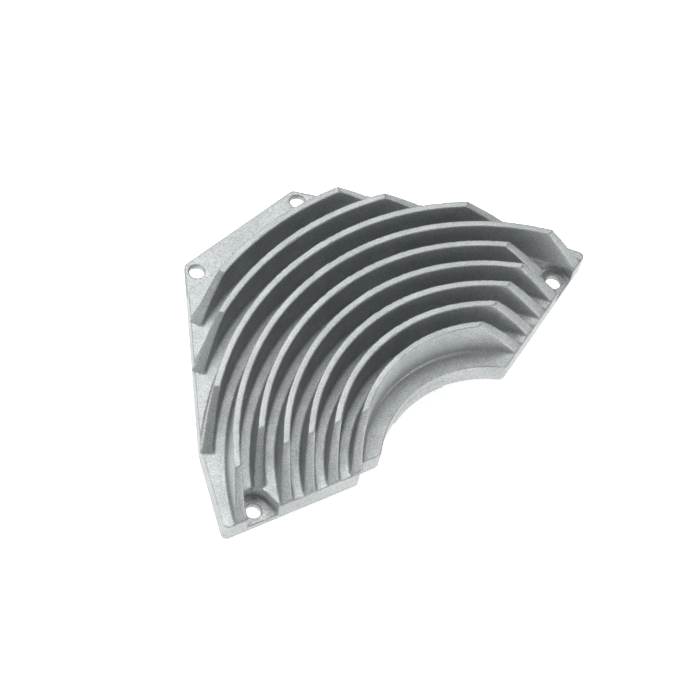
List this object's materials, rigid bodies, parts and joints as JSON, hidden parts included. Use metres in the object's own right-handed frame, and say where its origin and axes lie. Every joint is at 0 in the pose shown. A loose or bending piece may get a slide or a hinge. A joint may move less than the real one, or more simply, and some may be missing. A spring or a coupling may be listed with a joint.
{
  "type": "blower speed regulator",
  "caption": "Ring-sector die-cast heat sink with concentric fins and a closed rear module that controls the speed of a blower motor.",
  "frame": {"origin": "on the mounting face, midway between the two screw holes of the far flange", "axes": "+Z along the fins, away from the mounting face; +Y from the concave rim to the far flange; +X along the pair of far screw holes"},
  "size_m": [0.1354, 0.0811, 0.035],
  "materials": {
    "cast_aluminium": "matte, bead-blasted casting",
    "seal_rubber": "matte",
    "cover_plastic": "matte moulded",
    "screw_steel": "zinc plated",
    "board_laminate": "satin lacquer",
    "epoxy": "matte moulded",
    "tinned_copper": "tinned, satin",
    "insulating_sheet": "smooth",
    "spring_steel": "rolled",
    "contact_brass": "tinned, satin",
    "capacitor_sleeve": "sleeved can",
    "resistance_alloy": "rolled",
    "fuse_body": "glazed",
    "chip_black": "glazed",
    "chip_tan": "matte"
  },
  "bodies": {
    "root": {"heat_sink": "cast_aluminium", "cover_gasket": "seal_rubber", "rear_cover": "cover_plastic", "cover_screws": "screw_steel", "circuit_board": "board_laminate", "board_screws": "screw_steel", "transistor_left": "epoxy", "transistor_right": "epoxy", "leadframe_left": "tinned_copper", "leadframe_right": "tinned_copper", "insulator_left": "insulating_sheet", "insulator_right": "insulating_sheet", "clamp_bar": "spring_steel", "clamp_screw": "screw_steel", "power_blade_left": "contact_brass", "power_blade_right": "contact_brass", "signal_pins": "contact_brass", "capacitor_can": "capacitor_sleeve", "capacitor_base": "seal_rubber", "capacitor_leads": "tinned_copper", "shunt_strip": "resistance_alloy", "thermal_fuse": "fuse_body", "fuse_leads": "tinned_copper", "control_chip": "epoxy", "chip_legs": "tinned_copper", "suppressor_diode": "epoxy", "chip_resistors": "chip_black", "chip_capacitors": "chip_tan"}
  },
  "joints": []
}
